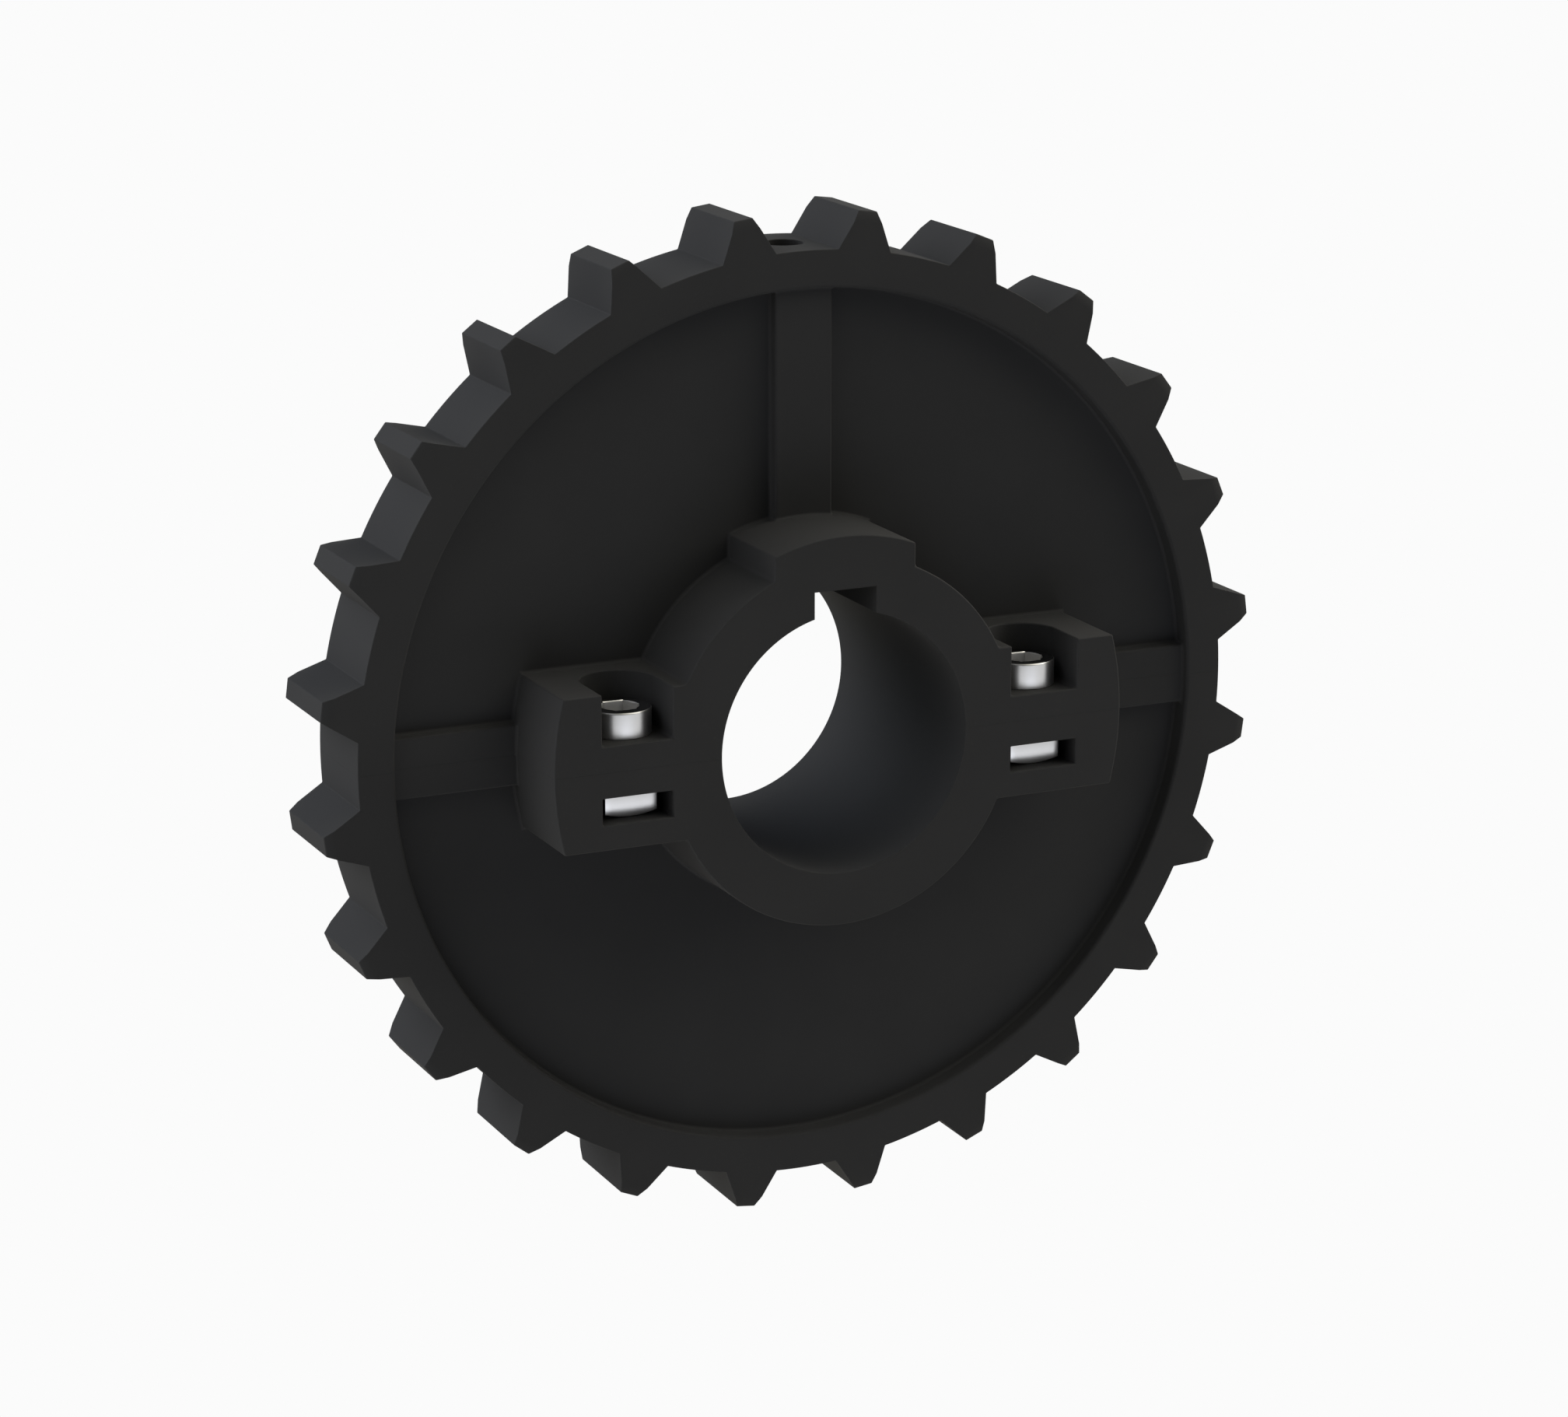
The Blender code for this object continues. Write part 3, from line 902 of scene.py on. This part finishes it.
def thread_sleeve(low, high, core, crest, pitch):
    sizes = {
        "Low": low,
        "High": high,
        "Rows": round((high - low) / pitch * ROWS_PER_PITCH),
        "Core radius": core,
        "Crest radius": crest,
        "Pitch": pitch,
        "Run-out": pitch,
    }
    return bake_tree("thread", sleeve_tree, sizes)


# %% [markdown]
# ## Ring lofts
# A screw head, a square nut and a pin are all stacks of rings round one axis. Each ring is round, six-sided
# or square, and has the same number of points, so neighbours join with plain quads. A ring can also be a
# single point, which closes an end. That makes a hexagon socket without any cutting.

# %% Rings and lofts
CORNER_AT = {"hex": (6, 0.0), "square": (4, math.pi / 4)}
TINY = 1e-9


def ring_points(shape, size, height):
    """A ring's points. The size is a radius, or half the width across flats; height may be a rule."""
    if shape == "point":
        return [(0.0, 0.0, height)]
    points = []
    for i in range(AROUND):
        angle = 2 * math.pi * i / AROUND
        radius = size
        if shape in CORNER_AT:
            sides, corner = CORNER_AT[shape]
            from_flat = (angle - corner + TINY) % (2 * math.pi / sides) - math.pi / sides
            radius = size / math.cos(from_flat)
        level = height(radius) if callable(height) else height
        points.append((radius * math.cos(angle), radius * math.sin(angle), level))
    return points


def add_rings(work, rings):
    """Adds a skin over a stack of rings to a bmesh."""
    stack = [[work.verts.new(point) for point in ring_points(*ring)] for ring in rings]
    for lower, upper in zip(stack, stack[1:]):
        for i in range(AROUND):
            j = (i + 1) % AROUND
            corners = [lower[i % len(lower)], lower[j % len(lower)]]
            corners += [upper[j % len(upper)], upper[i % len(upper)]]
            # A ring that is one point gives the same corner twice, and the face is a triangle.
            work.faces.new(list(dict.fromkeys(corners)))


def lofted(name, stacks, sleeve=None, place=(0, 0, 0), turn=0.0):
    """A closed mesh of one or more stacks of rings and, if given, a thread sleeve between them."""
    work = bmesh.new()
    for rings in stacks:
        add_rings(work, rings)
    if sleeve:
        work.from_mesh(sleeve)
    bmesh.ops.rotate(work, verts=work.verts, matrix=Matrix.Rotation(turn, 3, "Z"))
    bmesh.ops.translate(work, verts=work.verts, vec=Vector(place))
    mesh = bpy.data.meshes.new(name)
    work.to_mesh(mesh)
    work.free()
    return cleaned(mesh)


# %% [markdown]
# ## Cap screws
# Four M5 socket cap screws hold the halves together. Each rides on its own body, because it comes out of
# the upper half by itself. The head's rim is chamfered and the socket has a small lead-in for the key.

# %% Cap screw sizes
HEAD_RADIUS = 0.00450
HEAD_HEIGHT = 0.00378
HEAD_CHAMFER = 0.00020
HEAD_ROUGH = 0.27
EDGE = 0.00005
CONTACT = 0.00002
HEX_HALF = 0.0025
HEX_DEPTH = 0.0023
HEX_LEAD_IN = 0.00012
SOCKET_FLOOR = 0.86
CONE_DEPTH = 0.0007
POINT_TAPER = 0.75
CREST_RADIUS = 0.0024
CORE_RADIUS = 0.00203
PITCH = 0.0008
SCREW_TURN = math.radians(-2.7)


def socket_rings(top, half, depth):
    """From a flat top down into a hexagon socket with a drilled bottom."""
    return [
        ("hex", half + HEX_LEAD_IN, top),
        ("hex", half, top - HEX_LEAD_IN),
        ("hex", half, top - depth),
        ("round", half * SOCKET_FLOOR, top - depth),
        ("point", 0, top - depth - CONE_DEPTH),
    ]


def head_rings():
    top = HEAD_HEIGHT
    edge = HEAD_RADIUS - HEAD_CHAMFER
    return [
        ("round", CORE_RADIUS, 0.0),
        ("round", HEAD_RADIUS - EDGE, 0.0),
        ("round", HEAD_RADIUS, EDGE),
        ("round", HEAD_RADIUS, top - HEAD_CHAMFER - EDGE),
        ("round", HEAD_RADIUS - EDGE / 2, top - HEAD_CHAMFER + EDGE / 2),
        ("round", edge + EDGE / 2, top - EDGE / 2),
        ("round", edge - EDGE, top),
    ] + socket_rings(top, HEX_HALF, HEX_DEPTH)


def point_rings(low):
    """The chamfered end of a shank."""
    return [
        ("round", CORE_RADIUS, low + PITCH),
        ("round", CORE_RADIUS, low + CORE_RADIUS * (1 - POINT_TAPER)),
        ("round", CORE_RADIUS * POINT_TAPER, low),
        ("point", 0, low),
    ]


def make_cap_screw(side, end):
    node = f"cap_screw_{end}_{side}"
    low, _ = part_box(node)
    x, y = screw_place(side, end)
    underside = SEAT_Z + CONTACT
    shank = low.z - underside
    sleeve = thread_sleeve(shank + PITCH, 0.0, CORE_RADIUS, CREST_RADIUS, PITCH)
    stacks = [head_rings(), point_rings(shank)]
    mesh = lofted(node + "_turned", stacks, sleeve, (x, y, underside), SCREW_TURN)
    top = underside + HEAD_HEIGHT
    material = steel("steel_" + node, (x, y), HEAD_ROUGH, HEX_HALF * SOCKET_MARGIN, faced_at=top)
    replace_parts(finished(node + "_m5", mesh, material, node, "steel"), node)


for side, end in places:
    make_cap_screw(side, end)

# %% [markdown]
# ## Square nuts
# A square nut can't turn in its slot, so a screw is tightened with one key. Its lower face is coned, which
# is why each side's lower edge is an arc that rises at the corners. All four lie in the lower half.

# %% Square nuts
NUT_HALF = 0.0039
NUT_FLAT_RADIUS = 0.0037
NUT_CONE_SLOPE = 0.33
NUT_HOLE_RADIUS = 0.0027
NUT_CHAMFER = 0.0003
NUT_EDGE = 0.00007
NUT_ROUGH = 0.26


def nut_rings(height):
    """Round the nut's section once, from the hole's lower edge outwards and back down the hole."""
    low, high = -height / 2, height / 2
    rings = [
        ("round", NUT_HOLE_RADIUS, low + NUT_CHAMFER),
        ("round", NUT_HOLE_RADIUS + NUT_CHAMFER, low),
        ("round", NUT_FLAT_RADIUS, low),
        ("square", NUT_HALF, lambda radius: low + NUT_CONE_SLOPE * (radius - NUT_FLAT_RADIUS)),
        ("square", NUT_HALF, high),
        ("round", NUT_HOLE_RADIUS + NUT_CHAMFER, high),
        ("round", NUT_HOLE_RADIUS, high - NUT_CHAMFER),
    ]
    return rings + rings[:1]


def rounded(mesh, width, angle=40, segments=2):
    """The mesh with the edges sharper than this angle, in degrees, rounded."""
    obj = mesh_object(mesh.name, mesh)
    bevel = obj.modifiers.new("Rounded edges", "BEVEL")
    bevel.limit_method = "ANGLE"
    bevel.angle_limit = math.radians(angle)
    bevel.width = width
    bevel.segments = segments
    return baked(obj)


def make_nut(side, end):
    node = f"square_nut_{end}_{side}"
    low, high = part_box(node)
    height = high.z - low.z
    middle = (low + high) / 2
    middle.z = SLOT_FLOOR_Z + CONTACT + height / 2
    mesh = lofted(node + "_pressed", [nut_rings(height)], place=middle)
    material = steel("steel_" + node, (middle.x, middle.y), NUT_ROUGH)
    nut = finished(node + "_m5", rounded(mesh, NUT_EDGE), material, "lower_half", "steel")
    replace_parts(nut, node)


for side, end in places:
    make_nut(side, end)

# %% [markdown]
# ## Dowels and the key's set screw
# Two ground dowels line the halves up. They stay in the lower half when the wheel is opened. The set screw
# sits in the radial hole above the keyway and presses on the key, so the wheel can't creep along the shaft.

# %% Dowels
DOWEL_CHAMFER = 0.0004
DOWEL_ROUGH = 0.14


def make_dowel(side):
    node = "dowel_" + side
    low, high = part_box(node)
    middle = (low + high) / 2
    radius = (high.x - low.x) / 2
    half = (high.z - low.z) / 2
    ends = [(radius - DOWEL_CHAMFER, half), (radius, half - DOWEL_CHAMFER)]
    upper = [("point", 0, half)] + [("round", across, up) for across, up in ends]
    lower = [("round", across, -up) for across, up in reversed(ends)] + [("point", 0, -half)]
    mesh = lofted(node + "_ground", [upper + lower], place=middle)
    material = steel("steel_" + node, (middle.x, middle.y), DOWEL_ROUGH)
    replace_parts(finished(node + "_pin", mesh, material, "lower_half", "steel"), node)


for side in SIDES:
    make_dowel(side)

# %% Set screw
SET_HEX_HALF = 0.00125
SET_HEX_DEPTH = 0.0028
SET_CHAMFER = 0.0004
POINT_LENGTH = 0.0012
CUP_RADIUS = 0.00125
CUP_DEPTH = 0.0005
SET_ROUGH = 0.30


def make_set_screw():
    node = "key_set_screw"
    low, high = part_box(node)
    length = high.z - low.z
    crest = (high.x - low.x) / 2
    core = crest - (CREST_RADIUS - CORE_RADIUS)
    upper = [("round", core, length - SET_CHAMFER), ("round", core - SET_CHAMFER / 2, length)]
    upper += socket_rings(length, SET_HEX_HALF, SET_HEX_DEPTH)
    lower = [("round", core, POINT_LENGTH), ("round", CUP_RADIUS, 0), ("point", 0, CUP_DEPTH)]
    sleeve = thread_sleeve(POINT_LENGTH, length - SET_CHAMFER, core, crest, PITCH)
    middle = (low + high) / 2
    mesh = lofted(node + "_turned", [upper, lower], sleeve, (middle.x, middle.y, low.z))
    material = steel("steel_" + node, (middle.x, middle.y), SET_ROUGH, SET_HEX_HALF * SOCKET_MARGIN)
    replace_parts(finished(node + "_m5", mesh, material, node, "steel"), node)


make_set_screw()

# %% [markdown]
# ## Stage
# A plain pale floor that runs into a pale background, and soft lights all round. Black nylon is shaded
# almost only by the lights' sizes and places, so each one is a soft round lobe in the world: strong warm
# ones on the right, cooler ones on the left and behind, weak ones low down, and a wide faint one below.
# Both the floor and the background are only seen, and light nothing. The steel gets one more soft light.

# %% Floor
PALE = 0.965
FLOOR_HALF = 6.0
FLOOR_DEPTH = 0.01
FLOOR_CLEARANCE = 0.0002


def stage_floor():
    top = cad_low.z - FLOOR_CLEARANCE
    outline = rectangle(-FLOOR_HALF, -FLOOR_HALF, FLOOR_HALF, FLOOR_HALF)
    mesh = prism([upright(outline, top - FLOOR_DEPTH, top)])
    floor = mesh_object("floor", mesh)
    material, start, _ = new_material("pale_floor")
    glow = start.add("ShaderNodeEmission", {}, {"Color": (PALE, PALE, PALE, 1), "Strength": 1.0})
    finish_material(start, glow)
    mesh.materials.append(material)
    floor.visible_diffuse = False
    floor.visible_glossy = False
    floor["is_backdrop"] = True
    return floor


floor = stage_floor()

# %% World light
# Where each lobe is, in degrees to the right of the front and up, how narrow it is, and its colour.
LOBES = {
    "back left": (-135, 30, 10, (2.026, 2.131, 2.270)),
    "high right": (60, 60, 10, (1.594, 1.529, 1.293)),
    "right": (90, 30, 10, (4.613, 4.485, 4.209)),
    "left": (-90, 30, 10, (2.798, 2.816, 2.919)),
    "low left": (-90, -35, 10, (1.763, 1.764, 1.768)),
    "low front": (0, -35, 10, (1.058, 1.124, 1.326)),
    "back": (180, 30, 10, (0.342, 0.382, 0.487)),
    "below": (0, -90, 2, (0.827, 0.775, 0.642)),
}


def towards(azimuth, elevation):
    """The direction this many degrees to the right of the front and up."""
    across, up = math.radians(azimuth), math.radians(elevation)
    return (math.sin(across) * math.cos(up), -math.cos(across) * math.cos(up), math.sin(up))


def lobe(way, azimuth, elevation, power, colour):
    aim = towards(azimuth, elevation)
    inputs = {0: way, 1: aim}
    along = way.add("ShaderNodeVectorMath", {"operation": "DOT_PRODUCT"}, inputs, out="Value")
    level = along.apply("MAXIMUM", 0.0).apply("POWER", power)
    return level.add("ShaderNodeVectorMath", {"operation": "SCALE"}, {0: colour, "Scale": level})


def studio_world():
    world = bpy.data.worlds.new("studio")
    bpy.context.scene.world = world
    world.use_nodes = True
    tree = world.node_tree
    tree.nodes.clear()
    start = Flow(tree)
    way = start.add("ShaderNodeTexCoord", out="Generated")
    total, *others = [lobe(way, *values) for values in LOBES.values()]
    for other in others:
        total = total.add("ShaderNodeVectorMath", {"operation": "ADD"}, {0: total, 1: other})
    shine = start.add("ShaderNodeBackground", {}, {"Color": total, "Strength": 1.0})
    plate = start.add("ShaderNodeBackground", {}, {"Color": (PALE, PALE, PALE, 1), "Strength": 1.0})
    seen = start.add("ShaderNodeLightPath", out="Is Camera Ray")
    both = start.add("ShaderNodeMixShader", {}, {0: seen, 1: shine, 2: plate})
    start.add("ShaderNodeOutputWorld", {}, {"Surface": both})


studio_world()
bpy.context.scene.view_settings.view_transform = "Standard"
print("lobes in the world:", ", ".join(LOBES))

# %% Front panel for the fasteners
PANEL_AZIMUTH = 12
PANEL_ELEVATION = -14
PANEL_WIDTH = 2.0
PANEL_HEIGHT = 0.6
PANEL_DISTANCE = 0.55
PANEL_POWER = 3.4


def front_panel():
    """A broad soft light in front that only the steel takes, as a card beside the camera would give."""
    data = bpy.data.lights.new("front_panel", "AREA")
    data.shape = "RECTANGLE"
    data.size = PANEL_WIDTH
    data.size_y = PANEL_HEIGHT
    data.energy = PANEL_POWER
    panel = bpy.data.objects.new("front_panel", data)
    bpy.context.scene.collection.objects.link(panel)
    aim = Vector(towards(PANEL_AZIMUTH, PANEL_ELEVATION))
    panel.location = aim * PANEL_DISTANCE
    panel.rotation_euler = (-aim).to_track_quat("-Z", "Y").to_euler()
    panel.visible_camera = False
    lit = bpy.data.collections.new("lit_by_front_panel")
    for obj in fasteners:
        lit.objects.link(obj)
    panel.light_linking.receiver_collection = lit


front_panel()

# %% Camera
AZIMUTH = math.radians(25.0116)
ELEVATION = math.radians(15.2713)
TARGET = Vector((-0.003669, -0.007885, 0.002374))
DISTANCE = 0.62757
LENS = 100.77
forward = Vector(
    (
        math.sin(AZIMUTH) * math.cos(ELEVATION),
        math.cos(AZIMUTH) * math.cos(ELEVATION),
        -math.sin(ELEVATION),
    )
)
camera_data = bpy.data.cameras.new("camera")
camera_data.lens = LENS
camera_data.sensor_width = 36.0
camera_data.clip_start = 0.01
camera = bpy.data.objects.new("camera", camera_data)
bpy.context.scene.collection.objects.link(camera)
camera.location = TARGET - forward * DISTANCE
camera.rotation_euler = forward.to_track_quat("-Z", "Y").to_euler()
bpy.context.scene.camera = camera
print("camera at", [round(value, 4) for value in camera.location])

# %% Sizes at the end
low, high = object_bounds()
